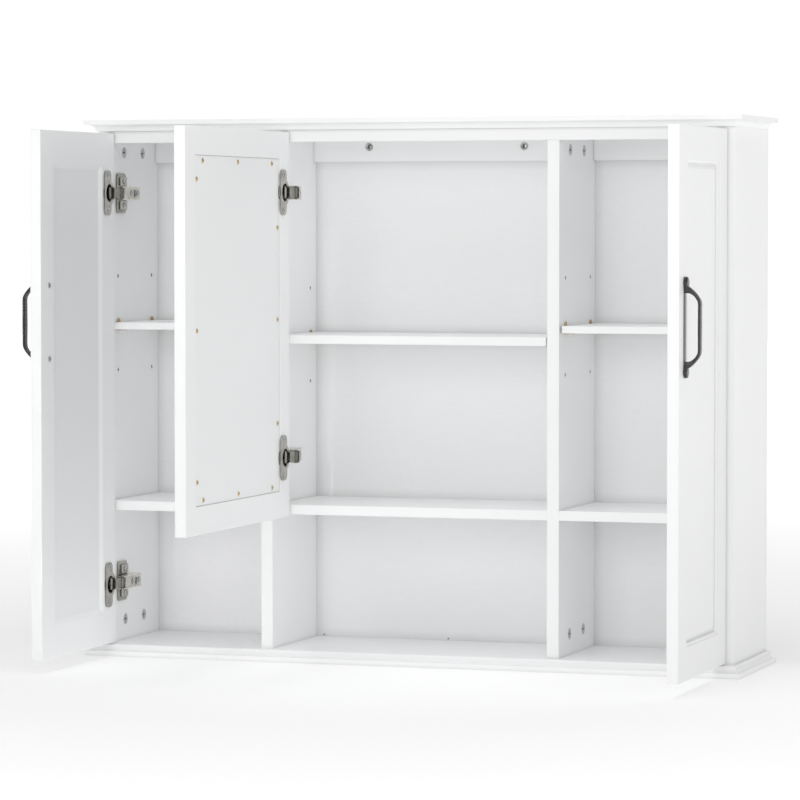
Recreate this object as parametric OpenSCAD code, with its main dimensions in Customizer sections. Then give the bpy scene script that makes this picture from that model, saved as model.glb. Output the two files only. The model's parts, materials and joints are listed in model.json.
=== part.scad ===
// Wall-hung three-bay medicine cabinet: two panelled doors, a mirror door and an open shelf.
// Millimetres. +Z up, the doors face -Y. The origin is on the underside of the base board,
// half way across, in the plane of the carcass's front edges.

/* [Cabinet] */
// Width over the crown and base mouldings
overall_w = 914; // [880:2:940]
// Height over the crown and base boards
overall_h = 728; // [700:1:760]
// Depth of the carcass, from its front edges to the wall
carcass_d = 190; // [170:1:220]
// Thickness of the sides, dividers and top rail
board_t = 16; // [14:0.5:18]
// Clear width of the middle bay
middle_w = 384; // [340:2:400]
// How far the mouldings stand out from the sides
side_overhang = 13.5; // [12:0.5:18]
// How far the mouldings stand out in front of the carcass
front_overhang = 20.5; // [20:0.5:30]

/* [Shelves] */
// Height of the fixed shelves' undersides
fixed_shelf_z = 198; // [150:1:260]
// Thickness of the fixed shelves
fixed_shelf_t = 13; // [10:0.5:18]
// Thickness of the outer adjustable shelves
outer_shelf_t = 9.5; // [8:0.5:14]
// Thickness of the middle adjustable shelf
middle_shelf_t = 11.5; // [8:0.5:14]
// Height of the pin holes in use in the outer bays
outer_pin_z = 452.5; // [380:0.5:470]
// Height of the pin holes in use in the middle bay
middle_pin_z = 435.5; // [380:0.5:470]
// Step between one pin hole and the next above
pin_pitch = 64; // [32:32:96]

/* [Doors] */
// How far the doors stand open
open_angle = 90; // [0:1:95]
// Thickness of the doors
door_t = 15; // [14:0.5:18]
// Width of the outer doors' stiles and rails, to the start of the moulding
frame_w = 43; // [41:0.5:50]
// Height of the mirror door's lower edge
mirror_door_z = 195; // [180:1:196]
// Height of the hinges' middles in from each door's ends
hinge_inset = 80.5; // [70:0.5:120]

/* [Handles] */
// Distance between the handle's two screws
handle_centres = 96; // [64:32:128]
// Height of the handle's middle
handle_z = 459; // [300:1:600]

/* [Hidden] */
$fn = 64;
eps = 0.01;
far = 2000;

// Colours
white_paint = [0.93, 0.93, 0.92];
nickel = [0.66, 0.65, 0.60];
steel = [0.75, 0.76, 0.77];
brass = [0.72, 0.55, 0.25];
bronze = [0.10, 0.09, 0.08];

// Crown and base boards
crown_t = 15;
crown_lip = 6.5;
crown_step = 4.5;
cove_r = crown_t - crown_lip;
base_t = 16;
base_lip = 7;
base_step = 7.5;
base_cove_r = 5;
base_bead_r = 2.5;
side_z0 = base_t;
side_z1 = overall_h - crown_t;
side_h = side_z1 - side_z0;

// Panels, measured from the middle
body_x = overall_w / 2 - side_overhang;
side_in_x = body_x - board_t;
divider_in_x = middle_w / 2;
divider_out_x = divider_in_x + board_t;
outer_bay_w = side_in_x - divider_out_x;

// Back panel and hanging rails
back_t = 3;
back_recess = 10;
back_groove = 4.5;
back_y = carcass_d - back_recess - back_t;
rail_t = 11;
rail_h = 40;
rail_y = back_y - rail_t;
rail_z = side_z1 - rail_h;
top_rail_z = side_z1 - board_t;
screw_spacing = 222;
wall_hole_r = 2.75;
wall_screw_z = rail_z + rail_h / 2;
pin_foot_spacing = 181;

// Shelf pins: one hole near the front and one near the back of each panel
pin_ys = [30, 152];
pin_hole_r = 2.5;
pin_hole_d = 10;
support_gap = 2.6;
support_t = 1.4;
support_w = 10;
support_leg = 13;
support_drop = 8.5;
shelf_front = 3;
shelf_back = back_y - 2;

// Cam locks, on the faces of the outer bays
cam_ys = [53, 120];
cam_inset = 28;
cam_r = 7.5;
cam_d = 12.5;
cam_bolt_r = 3.2;
cam_bolt_bite = 9;

// Doors, drawn closed: x from the hinge edge, y from the carcass's front plane
door_gap = 2.5;
door_in_y = -door_gap;
door_out_y = -door_gap - door_t;
door_z0 = base_t + 1.8;
door_z1 = side_z1 - 3.2;
outer_edge_x = body_x - 1;
mirror_edge_x = divider_in_x - 2;
doors_apart = 3;
outer_door_w = outer_edge_x - mirror_edge_x - doors_apart;
mirror_door_w = 2 * mirror_edge_x;
moulding_w = 8;
panel_t = 7.5;
panel_out_y = door_out_y + 4;
panel_in_y = panel_out_y + panel_t;

// Mirror door: the backing sits in one rebate and the glass in a deeper one
backing_margin = 36.5;
backing_gap = 0.7;
backing_t = 3;
backing_sunk = 1.5;
backing_y = door_in_y - backing_sunk - backing_t;
glass_margin = 47.5;
glass_t = 4;
glass_y = backing_y - glass_t;
sight_margin = 52;
backing_screw_in = 6.5;
backing_screw_r = 1.5;
backing_screw_l = 10;

// Handle
handle_from_edge = 27.3;
handle_x = outer_door_w - handle_from_edge;
grip_w = 11;
grip_t = 3.6;
grip_out = 21;
grip_half = 35;
foot_w = 16;
foot_t = 4.6;
foot_over = 15;
strip_t = 1.2;
handle_screw_r = 2;

// Concealed hinge: the link turns on the arm pin and the cup turns on the link
arm_pivot = [28, 8];
cup_pivot = [10, -5];
link_swing = 36;
link_elbow = [20, 7];
link_w = 14;
link_t = 3;
knuckle_r = 3;
pin_r = 1.5;
pin_clear = 0.05;
cup_x = 21;
cup_r = 17.4;
cup_wall = 1.2;
cup_mouth_r = 12.2;
cup_d = 11.5;
cup_bore_d = 12;
rim_t = 1.2;
flange_t = 2;
flange_h = 60.5;
flange_w = 23;
flange_r = 8;
flange_x = cup_x + 5;
cheek_z = 8;
cheek_t = 2;
cup_screw_z = 24;
arm_w = 18;
arm_in_w = 15;
arm_t = 1.5;
arm_back = 66;
arm_top = 33;
arm_foot = 14;
arm_slot = [45.5, 50];
arm_slot_z = 4.6;
arm_mouth_y = 10;
plate_y = 38;
plate_w = 31;
plate_h = 54.5;
plate_t = 2.5;
plate_screw_y = 43;
plate_screw_z = 16;
pad_t = 4.2;
pad_y = [30, 53.5];
pad_z = [10.5, 22];
ridge_y = [24, 65];
mirror_crank = outer_edge_x - side_in_x + divider_in_x - mirror_edge_x;
ridge_top = arm_top - arm_t - (outer_edge_x - side_in_x);
adjust_ys = [36.5, 58.5];

// Where the doors stand at the opening angle
swing = open_angle / 90;
link_turn = link_swing * swing;
function turn(p, a) = [p.x * cos(a) - p.y * sin(a), p.x * sin(a) + p.y * cos(a)];
cup_pivot_now = arm_pivot + turn(cup_pivot - arm_pivot, link_turn);

outer_hinge_zs = [door_z0 + hinge_inset, door_z1 - hinge_inset];
mirror_hinge_zs = [mirror_door_z + hinge_inset, door_z1 - hinge_inset];

// ---- shared shapes ----

// A box from its lowest to its highest corner
module span(low, high) translate(low) cube(high - low);

// Both the left-hand shape and its mirror image
module both_sides() {
  children();
  mirror([1, 0, 0]) children();
}

// A rod along Y, from the height y0 to y1
module rod_y(x, z, y0, y1, r) translate([x, y0, z]) rotate([-90, 0, 0]) cylinder(r = r, h = y1 - y0);

// A rod along X
module rod_x(y, z, x0, x1, r) translate([x0, y, z]) rotate([0, 90, 0]) cylinder(r = r, h = x1 - x0);

// A rod along Z
module rod_z(x, y, z0, z1, r) translate([x, y, z0]) cylinder(r = r, h = z1 - z0);

// A flat outline with round corners
module rounded_plate(w, h, r) {
  square([w - 2 * r, h], center = true);
  square([w, h - 2 * r], center = true);
  for (x = [-1, 1], y = [-1, 1]) translate([x * (w / 2 - r), y * (h / 2 - r)]) circle(r = r);
}

// ---- crown and base ----

// Edge sections: the lip's face is at 0 and the board runs back to -reach
module crown_edge(reach) difference() {
  translate([-reach, 0]) square([reach, crown_t]);
  translate([-crown_step, -1]) square([crown_step + 1, cove_r + 1]);
  translate([-crown_step, 0]) circle(r = cove_r);
}

module base_edge(reach) {
  translate([-reach, 0]) square([reach, base_lip]);
  translate([-reach, 0]) square([reach - base_step - base_bead_r, base_t]);
  translate([-reach, 0]) square([reach - base_step, base_t - base_bead_r]);
  translate([-base_step - base_bead_r, base_t - base_bead_r]) circle(r = base_bead_r);
  translate([-base_step, base_lip]) difference() {
    translate([-eps, -eps]) square(base_cove_r + eps);
    translate([base_cove_r, base_cove_r]) circle(r = base_cove_r);
  }
}

// A board moulded along its front and both ends, with mitred corners
module moulded_board() intersection() {
  translate([-overall_w / 2, -front_overhang, 0]) rotate([90, 0, 90]) linear_extrude(overall_w)
    mirror([1, 0]) children(0);
  translate([0, carcass_d, 0]) rotate([90, 0, 0]) linear_extrude(carcass_d + front_overhang)
    both_sides() translate([overall_w / 2, 0]) children(1);
}

module cam_bolt_holes(z0, z1) for (x = cam_panel_xs, y = cam_ys) rod_z(x, y, z0, z1, cam_bolt_r + 0.1);

cam_panel_xs = [for (s = [-1, 1], x = [side_in_x, divider_in_x]) s * (x + board_t / 2)];

module crown_board() color(white_paint) difference() {
  translate([0, 0, side_z1]) moulded_board() {
    crown_edge(carcass_d + front_overhang);
    crown_edge(overall_w / 2);
  }
  cam_bolt_holes(side_z1 - 1, side_z1 + cam_bolt_bite + 1);
}

module base_board() color(white_paint) difference() {
  moulded_board() {
    base_edge(carcass_d + front_overhang);
    base_edge(overall_w / 2);
  }
  cam_bolt_holes(side_z0 - cam_bolt_bite - 1, side_z0 + 1);
}

// ---- upright panels ----

// Cam bores and the bolt holes that run into them from the panel's ends.
// The bores open on the face at x and go in the direction dir.
module cam_bores(x, dir) for (y = cam_ys, top = [0, 1]) {
  end_z = top ? side_z1 : side_z0;
  cam_z = top ? end_z - cam_inset : end_z + cam_inset;
  rod_x(y, cam_z, dir > 0 ? x - 1 : x - cam_d, dir > 0 ? x + cam_d : x + 1, cam_r + 0.1);
  rod_z(x + dir * board_t / 2, y, min(end_z, cam_z) - (top ? 0 : 1), max(end_z, cam_z) + (top ? 1 : 0),
        cam_bolt_r + 0.1);
}

// Three rows of shelf-pin holes on the face at x, going in the direction dir
module pin_holes(x, dir, z) for (y = pin_ys, k = [-1, 0, 1])
  rod_x(y, z + k * pin_pitch, dir > 0 ? x - 1 : x - pin_hole_d, dir > 0 ? x + pin_hole_d : x + 1, pin_hole_r);

// Pilot holes for the mounting plates' screws
module plate_pilots(x, dir, zs) for (z = zs, s = [-1, 1])
  rod_x(plate_screw_y, z + s * plate_screw_z, dir > 0 ? x - 1 : x - 12, dir > 0 ? x + 12 : x + 1, 2.1);

// The right-hand side; the left is its mirror image
module side_panel() difference() {
  span([side_in_x, 0, side_z0], [body_x, carcass_d, side_z1]);
  span([side_in_x - 1, back_y, side_z0 - 1], [side_in_x + back_groove, back_y + back_t, side_z1 + 1]);
  cam_bores(side_in_x, 1);
  pin_holes(side_in_x, 1, outer_pin_z);
  plate_pilots(side_in_x, 1, outer_hinge_zs);
}

module right_side() color(white_paint) side_panel();

module left_side() color(white_paint) mirror([1, 0, 0]) side_panel();

module divider_panel() difference() {
  span([divider_in_x, 0, side_z0], [divider_out_x, back_y, side_z1]);
  span([divider_in_x - 1, -1, top_rail_z], [divider_out_x + 1, board_t, side_z1 + 1]);
  cam_bores(divider_out_x, -1);
  // The pin holes of the two faces lie at different heights, so they never meet
  pin_holes(divider_out_x, -1, outer_pin_z);
  pin_holes(divider_in_x, 1, middle_pin_z);
}

module right_divider() color(white_paint) divider_panel();

module left_divider() color(white_paint) mirror([1, 0, 0]) difference() {
  divider_panel();
  plate_pilots(divider_in_x, 1, mirror_hinge_zs);
}

module top_rail() color(white_paint) span([-side_in_x, 0, top_rail_z], [side_in_x, board_t, side_z1]);

// ---- back ----

module wall_screw_holes(y0, y1, r) for (s = [-1, 1])
  rod_y(s * screw_spacing / 2, wall_screw_z, y0, y1, r);

module back_panel() color(white_paint) difference() {
  span([-side_in_x - back_groove, back_y, side_z0], [side_in_x + back_groove, back_y + back_t, side_z1]);
  wall_screw_holes(back_y - 1, back_y + back_t + 1, wall_hole_r);
}

module hanging_rail(x0, x1) span([x0, rail_y, rail_z], [x1, back_y, side_z1]);

module left_hanging_rail() color(white_paint) hanging_rail(-side_in_x, -divider_out_x);

module right_hanging_rail() color(white_paint) hanging_rail(divider_out_x, side_in_x);

module middle_hanging_rail() color(white_paint) difference() {
  hanging_rail(-divider_in_x, divider_in_x);
  wall_screw_holes(rail_y - 1, back_y + 1, wall_hole_r);
}

// Cup washers for the two wall screws
module wall_screw_washers() color(steel) for (s = [-1, 1])
  translate([s * screw_spacing / 2, rail_y, wall_screw_z]) rotate([90, 0, 0]) rotate_extrude()
    polygon([[wall_hole_r, 0], [5.5, 0], [5.5, 0.6], [4.4, 1.4], [wall_hole_r, 0.7]]);

// Small round-headed pins along the foot of the back panel
module back_panel_pins() color(bronze) for (x = [-1, 0, 1] * pin_foot_spacing)
  rod_y(x, base_t + 2.2, back_y - 0.8, back_y, 1.1);

// ---- shelves ----

module fixed_shelf(x0, x1) span([x0, 0, fixed_shelf_z], [x1, back_y, fixed_shelf_z + fixed_shelf_t]);

module left_fixed_shelf() color(white_paint) fixed_shelf(-side_in_x, -divider_out_x);

module middle_fixed_shelf() color(white_paint) fixed_shelf(-divider_in_x, divider_in_x);

module right_fixed_shelf() color(white_paint) fixed_shelf(divider_out_x, side_in_x);

module adjustable_shelf(x0, x1, pin_z, t) span(
  [x0 + support_gap, shelf_front, pin_z - support_drop],
  [x1 - support_gap, shelf_back, pin_z - support_drop + t]);

module left_adjustable_shelf() color(white_paint)
  adjustable_shelf(-side_in_x, -divider_out_x, outer_pin_z, outer_shelf_t);

module middle_adjustable_shelf() color(white_paint)
  adjustable_shelf(-divider_in_x, divider_in_x, middle_pin_z, middle_shelf_t);

module right_adjustable_shelf() color(white_paint)
  adjustable_shelf(divider_out_x, side_in_x, outer_pin_z, outer_shelf_t);

// A pin plate on a face at x = 0 that looks along +X, with a leg under the shelf
module shelf_support() {
  rod_x(0, 0, -pin_hole_d + 2, support_t + 0.8, pin_hole_r - 0.1);
  rod_x(0, 1.5, 0, support_t, support_w / 2);
  span([0, -support_w / 2, -support_drop - support_t], [support_t, support_w / 2, 1.5]);
  span([0, -support_w / 2, -support_drop - support_t], [support_leg - support_w / 2, support_w / 2, -support_drop]);
  rod_z(support_leg - support_w / 2, 0, -support_drop - support_t, -support_drop, support_w / 2);
}

module support_pair(x, z) for (y = pin_ys) translate([x, y, z]) shelf_support();

module shelf_supports() color(brass) both_sides() {
  support_pair(divider_out_x, outer_pin_z);
  mirror([1, 0, 0]) support_pair(-side_in_x, outer_pin_z);
  mirror([1, 0, 0]) support_pair(-divider_in_x, middle_pin_z);
}

// ---- cam locks ----

// A cam disc bored to take the bolt's tip, with a cross slot in its face.
// The face is at x = 0 and looks along -X.
module cam_disc(bolt_up) difference() {
  rod_x(0, 0, 0.3, cam_d - 0.3, cam_r);
  rod_z(board_t / 2, 0, bolt_up ? -5 : -cam_r - 1, bolt_up ? cam_r + 1 : 5, cam_bolt_r + 0.2);
  span([-1, -0.8, -4.5], [1.6, 0.8, 4.5]);
  span([-1, -4.5, -0.8], [1.6, 4.5, 0.8]);
}

module each_cam(x, face) for (y = cam_ys, top = [0, 1])
  translate([x, y, top ? side_z1 - cam_inset : side_z0 + cam_inset])
    mirror([face < 0 ? 1 : 0, 0, 0]) cam_disc(top == 1);

module cam_locks() color(steel) both_sides() {
  each_cam(side_in_x, 1);
  each_cam(divider_out_x, -1);
}

module cam_bolts() color(steel) for (x = cam_panel_xs, y = cam_ys) {
  rod_z(x, y, side_z0 - cam_bolt_bite, side_z0 + cam_inset + 3, cam_bolt_r);
  rod_z(x, y, side_z1 - cam_inset - 3, side_z1 + cam_bolt_bite, cam_bolt_r);
}

// ---- doors ----

// Turns what is drawn with the door closed to where the open door stands.
// edge is the hinge edge's distance from the middle; the door is hinged on the left.
module hung(edge) translate([-edge, 0, 0]) translate(cup_pivot_now) rotate([0, 0, -open_angle])
  translate(-cup_pivot) children();

// A pocket with sloping walls: its rim and its floor are set in by different margins
module sloped_pocket(w, z0, z1, rim_y, rim, floor_y, floor) intersection() {
  linear_extrude(far, center = true)
    polygon([[rim, rim_y], [w - rim, rim_y], [w - floor, floor_y], [floor, floor_y]]);
  rotate([90, 0, 90]) linear_extrude(far, center = true)
    polygon([[rim_y, z0 + rim], [rim_y, z1 - rim], [floor_y, z1 - floor], [floor_y, z0 + floor]]);
}

module door_box(w, z0, z1, margin, y0, y1) span([margin, y0, z0 + margin], [w - margin, y1, z1 - margin]);

// The holes for one door's hinge cups and their flange screws
module cup_bores(zs) for (z = zs) {
  rod_y(cup_x, z, door_in_y - cup_bore_d, door_in_y + 1, cup_r + 0.1);
  for (s = [-1, 1]) rod_y(flange_x, z + s * cup_screw_z, door_in_y - 9, door_in_y + 1, 1.6);
}

panel_margin = frame_w + moulding_w;

// An outer door's frame before it is divided into stiles and rails
module outer_frame() difference() {
  door_box(outer_door_w, door_z0, door_z1, 0, door_out_y, door_in_y);
  sloped_pocket(outer_door_w, door_z0, door_z1, door_in_y + eps, frame_w, panel_in_y, panel_margin);
  sloped_pocket(outer_door_w, door_z0, door_z1, door_out_y - eps, frame_w, panel_out_y, panel_margin);
  door_box(outer_door_w, door_z0, door_z1, panel_margin, panel_out_y - 1, panel_in_y + 1);
  cup_bores(outer_hinge_zs);
  handle_screw_holes(door_out_y - 1, door_in_y + 1);
}

// The mirror door's frame: rebated from behind for the backing and the glass
module mirror_frame() difference() {
  door_box(mirror_door_w, mirror_door_z, door_z1, 0, door_out_y, door_in_y);
  door_box(mirror_door_w, mirror_door_z, door_z1, backing_margin - backing_gap, backing_y, door_in_y + 1);
  door_box(mirror_door_w, mirror_door_z, door_z1, glass_margin - 0.5, glass_y, door_in_y + 1);
  door_box(mirror_door_w, mirror_door_z, door_z1, sight_margin, door_out_y - 1, door_in_y + 1);
  sloped_pocket(mirror_door_w, mirror_door_z, door_z1, door_out_y - eps, sight_margin - moulding_w,
                door_out_y + 4, sight_margin);
  cup_bores(mirror_hinge_zs);
  backing_screw_holes(backing_screw_r + 0.1);
}

// The full-height pieces of a frame, and the pieces between them
module stiles_of(w, margin) intersection() {
  children();
  union() {
    span([-1, -far, -far], [margin, far, far]);
    span([w - margin, -far, -far], [w + 1, far, far]);
  }
}

module rails_of(w, margin) intersection() {
  children();
  span([margin, -far, -far], [w - margin, far, far]);
}

module left_door_stiles() color(white_paint) hung(outer_edge_x) stiles_of(outer_door_w, panel_margin) outer_frame();

module left_door_rails() color(white_paint) hung(outer_edge_x) rails_of(outer_door_w, panel_margin) outer_frame();

module left_door_panel() color(white_paint) hung(outer_edge_x)
  door_box(outer_door_w, door_z0, door_z1, panel_margin, panel_out_y, panel_in_y);

module right_door_stiles() mirror([1, 0, 0]) left_door_stiles();

module right_door_rails() mirror([1, 0, 0]) left_door_rails();

module right_door_panel() mirror([1, 0, 0]) left_door_panel();

module mirror_door_stiles() color(white_paint) hung(mirror_edge_x) stiles_of(mirror_door_w, sight_margin) mirror_frame();

module mirror_door_rails() color(white_paint) hung(mirror_edge_x) rails_of(mirror_door_w, sight_margin) mirror_frame();

module mirror_glass() color([0.8, 0.85, 0.88]) hung(mirror_edge_x)
  door_box(mirror_door_w, mirror_door_z, door_z1, glass_margin, glass_y, backing_y);

module mirror_backing() color(white_paint) hung(mirror_edge_x) difference() {
  door_box(mirror_door_w, mirror_door_z, door_z1, backing_margin, backing_y, backing_y + backing_t);
  cup_bores(mirror_hinge_zs);
  backing_screw_holes(backing_screw_r + 0.1);
}

// Three screws along each edge of the backing
mirror_mid = [mirror_door_w / 2, (mirror_door_z + door_z1) / 2];
screw_x = mirror_door_w / 2 - backing_margin - backing_screw_in;
screw_z = (door_z1 - mirror_door_z) / 2 - backing_margin - backing_screw_in;
backing_screw_places = [
  for (x = [-1, 0, 1] * 126, s = [-1, 1]) mirror_mid + [x, s * screw_z],
  for (z = [-191, 0, 191]) mirror_mid + [screw_x, z],
  for (z = [-130, 8, 130]) mirror_mid + [-screw_x, z]
];

module backing_screw_holes(r) for (p = backing_screw_places)
  rod_y(p.x, p.y, backing_y - backing_screw_l, door_in_y + 1, r);

module mirror_backing_screws() color(brass) hung(mirror_edge_x) for (p = backing_screw_places) {
  rod_y(p.x, p.y, backing_y - backing_screw_l + 3, backing_y + backing_t + eps, backing_screw_r);
  rod_y(p.x, p.y, backing_y + backing_t, backing_y + backing_t + 1.2, 3.2);
}

// ---- handles ----

module handle_screw_holes(y0, y1) for (s = [-1, 1])
  rod_y(handle_x, handle_z + s * handle_centres / 2, y0, y1, handle_screw_r + 0.2);

// The bow of the handle, seen from the side: x is out from the door and y is up.
// It is symmetrical, so half the outline is drawn and mirrored.
module bow_half() polygon([
  [0, handle_centres / 2 + 4], [foot_t, handle_centres / 2 + 2.5], [grip_out - 10, grip_half + 10.4],
  [grip_out - 5.5, grip_half + 5.5], [grip_out - 1.2, grip_half], [grip_out, grip_half - 5],
  [grip_out + 0.6, 0], [grip_out - grip_t, 0], [grip_out - grip_t - 0.4, grip_half - 5],
  [grip_out - grip_t - 2.4, grip_half + 1], [foot_t + 6, handle_centres / 2 - 8.5],
  [foot_t + 1, handle_centres / 2 - 6.5], [0, handle_centres / 2 - 7]
]);

module handle_body() translate([handle_x, door_out_y, handle_z]) difference() {
  union() {
    rotate([90, 0, -90]) linear_extrude(grip_w, center = true) {
      bow_half();
      mirror([0, 1]) bow_half();
    }
    for (s = [-1, 1]) {
      end_z = s * (handle_centres / 2 + foot_over - foot_w / 2);
      span([-foot_w / 2, -foot_t, min(end_z, s * (handle_centres / 2 - 5))],
           [foot_w / 2, 0, max(end_z, s * (handle_centres / 2 - 5))]);
      rod_y(0, end_z, -foot_t, 0, foot_w / 2);
    }
    span([-grip_w / 2, -strip_t, -handle_centres / 2], [grip_w / 2, 0, handle_centres / 2]);
  }
  for (s = [-1, 1]) rod_y(0, s * handle_centres / 2, -6, 1, handle_screw_r + 0.1);
}

module left_handle() color(bronze) hung(outer_edge_x) handle_body();

module right_handle() mirror([1, 0, 0]) left_handle();

module left_handle_screws() color(steel) hung(outer_edge_x) for (s = [-1, 1]) {
  rod_y(handle_x, handle_z + s * handle_centres / 2, door_out_y - 5, door_in_y + eps, handle_screw_r);
  rod_y(handle_x, handle_z + s * handle_centres / 2, door_in_y, door_in_y + 1.4, 4);
}

module right_handle_screws() mirror([1, 0, 0]) left_handle_screws();

// ---- concealed hinges, drawn for the left-hand door, closed ----

// The cup and its flange, with a slot for the link between the cheeks that hold the pin
module hinge_cup(z) translate([0, 0, z]) difference() {
  union() {
    rod_y(cup_x, 0, door_in_y - cup_d, door_in_y + rim_t, cup_r);
    rod_y(cup_x, 0, door_in_y, door_in_y + rim_t, cup_r + 0.8);
    translate([flange_x, door_in_y + flange_t, 0]) rotate([90, 0, 0]) linear_extrude(flange_t)
      rounded_plate(flange_w, flange_h, flange_r);
  }
  rod_y(cup_x, 0, door_in_y - cup_d + cup_wall, door_in_y + flange_t + 1, cup_mouth_r);
  intersection() {
    rod_y(cup_x, 0, door_in_y - cup_d + cup_wall, door_in_y + flange_t + 1, cup_r - cup_wall);
    span([0, door_in_y - cup_d, -cheek_z], [cup_x, door_in_y + flange_t + 1, cheek_z]);
  }
  rod_z(cup_pivot.x, cup_pivot.y, -cheek_z - cheek_t, cheek_z + cheek_t, pin_r);
  for (s = [-1, 1]) rod_y(flange_x, s * cup_screw_z, door_in_y - 1, door_in_y + flange_t + 1, 2.1);
}

module hinge_cups(zs) for (z = zs) hinge_cup(z);

module cup_pins(zs) for (z = zs) rod_z(cup_pivot.x, cup_pivot.y, z - cheek_z - cheek_t, z + cheek_z + cheek_t, pin_r);

module cup_screws(zs) for (z = zs, s = [-1, 1]) {
  rod_y(flange_x, z + s * cup_screw_z, door_in_y - 8, door_in_y + flange_t + eps, 1.5);
  rod_y(flange_x, z + s * cup_screw_z, door_in_y + flange_t, door_in_y + flange_t + 1, 3.6);
}

// A flat bar of the link between two points
module bar(a, b) translate(a) rotate(atan2(b.y - a.y, b.x - a.x))
  translate([0, -link_t / 2]) square([norm(b - a), link_t]);

link_angle = atan2(cup_pivot.y - arm_pivot.y, cup_pivot.x - arm_pivot.x);
link_length = norm(cup_pivot - arm_pivot);

// The link lies along +X from the arm pin, bent at its elbow, and is then turned into place
module hinge_link() translate(arm_pivot) rotate(link_angle + link_turn) linear_extrude(link_w, center = true)
  difference() {
    union() {
      circle(r = knuckle_r);
      translate([link_length, 0]) circle(r = knuckle_r);
      bar([0, 0], link_elbow);
      bar(link_elbow, [link_length, 0]);
      translate(link_elbow) circle(r = link_t / 2);
    }
    circle(r = pin_r + pin_clear);
    translate([link_length, 0]) circle(r = pin_r + pin_clear);
  }

module hinge_links(edge, zs) for (z = zs) translate([-edge, 0, z]) hinge_link();

// The arm's outline from the side; the crank drops its back part towards the panel
function arm_outline(crank) = [
  [arm_pivot.y - 4, arm_top - 8], [arm_pivot.y - 4, arm_top], [10, arm_top], [24, arm_top - crank],
  [arm_back, arm_top - crank], [arm_back, arm_top - crank - arm_foot],
  [26, arm_top - crank - arm_foot], [22, arm_top - crank - 8], [9, arm_top - 8]
];

module arm_section(crank) rotate([0, 0, 90]) mirror([0, 1]) polygon(arm_outline(crank));

module hinge_arm(crank) difference() {
  linear_extrude(arm_w, center = true) arm_section(crank);
  translate([-arm_t, 0, 0]) linear_extrude(arm_in_w, center = true) {
    arm_section(crank);
    translate([-arm_foot, 0]) arm_section(crank);
  }
  rod_z(arm_pivot.x, arm_pivot.y, -arm_w, arm_w, pin_r);
  for (y = adjust_ys) rod_x(y, 0, arm_top - crank - 3, arm_top - crank + 1, 2.1);
  span([arm_top - crank - 3, arm_slot[0], -arm_slot_z], [arm_top - crank + 1, arm_slot[1], arm_slot_z]);
  span([arm_top - arm_t - 1, 0, -arm_in_w / 2], [arm_top + 1, arm_mouth_y, arm_in_w / 2]);
}

module arm_pins(edge, zs) for (z = zs) translate([-edge, 0, 0])
  rod_z(arm_pivot.x, arm_pivot.y, z - arm_w / 2, z + arm_w / 2, pin_r);

// The plate's wings lie on the panel at x = 0, with a raised pad under each screw, and its
// ridge fills the arm
module mounting_plate() difference() {
  union() {
    translate([0, plate_y, 0]) rotate([90, 0, 90]) linear_extrude(plate_t) rounded_plate(plate_w, plate_h, 5);
    span([0, ridge_y[0], -arm_in_w / 2 + 0.2], [ridge_top, ridge_y[1], arm_in_w / 2 - 0.2]);
    for (z0 = [-pad_z[1], pad_z[0]])
      span([0, pad_y[0], z0], [pad_t, pad_y[1], z0 + pad_z[1] - pad_z[0]]);
  }
  for (s = [-1, 1]) rod_x(plate_screw_y, s * plate_screw_z, -1, pad_t + 1, 2.3);
  for (y = adjust_ys) rod_x(y, 0, 4, ridge_top + 1, 2.1);
  span([ridge_top - 6, arm_slot[0], -arm_slot_z], [ridge_top + 1, arm_slot[1], arm_slot_z]);
}

module plate_screws(zs) for (z = zs, s = [-1, 1]) {
  rod_x(plate_screw_y, z + s * plate_screw_z, -11, pad_t + eps, 2);
  rod_x(plate_screw_y, z + s * plate_screw_z, pad_t, pad_t + 1.6, 3.8);
}

module adjusting_screws(edge, crank, zs) for (z = zs, y = adjust_ys) translate([-edge, 0, 0]) {
  rod_x(y, z, arm_top - crank - 8, arm_top - crank + eps, 2);
  rod_x(y, z, arm_top - crank, arm_top - crank + 1.2, 3.9);
}

module left_hinge_cups() color(nickel) hung(outer_edge_x) hinge_cups(outer_hinge_zs);

module left_hinge_cup_pins() color(steel) hung(outer_edge_x) cup_pins(outer_hinge_zs);

module left_hinge_cup_screws() color(steel) hung(outer_edge_x) cup_screws(outer_hinge_zs);

module left_hinge_links() color(nickel) hinge_links(outer_edge_x, outer_hinge_zs);

module right_hinge_cups() mirror([1, 0, 0]) left_hinge_cups();

module right_hinge_cup_pins() mirror([1, 0, 0]) left_hinge_cup_pins();

module right_hinge_cup_screws() mirror([1, 0, 0]) left_hinge_cup_screws();

module right_hinge_links() mirror([1, 0, 0]) left_hinge_links();

module mirror_hinge_cups() color(nickel) hung(mirror_edge_x) hinge_cups(mirror_hinge_zs);

module mirror_hinge_cup_pins() color(steel) hung(mirror_edge_x) cup_pins(mirror_hinge_zs);

module mirror_hinge_cup_screws() color(steel) hung(mirror_edge_x) cup_screws(mirror_hinge_zs);

module mirror_hinge_links() color(nickel) hinge_links(mirror_edge_x, mirror_hinge_zs);

module outer_hinge_arms() color(nickel) both_sides()
  for (z = outer_hinge_zs) translate([-outer_edge_x, 0, z]) hinge_arm(0);

module mirror_hinge_arms() color(nickel)
  for (z = mirror_hinge_zs) translate([-mirror_edge_x, 0, z]) hinge_arm(mirror_crank);

module hinge_arm_pins() color(steel) {
  both_sides() arm_pins(outer_edge_x, outer_hinge_zs);
  arm_pins(mirror_edge_x, mirror_hinge_zs);
}

module arm_adjusting_screws() color(steel) {
  both_sides() adjusting_screws(outer_edge_x, 0, outer_hinge_zs);
  adjusting_screws(mirror_edge_x, mirror_crank, mirror_hinge_zs);
}

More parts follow.
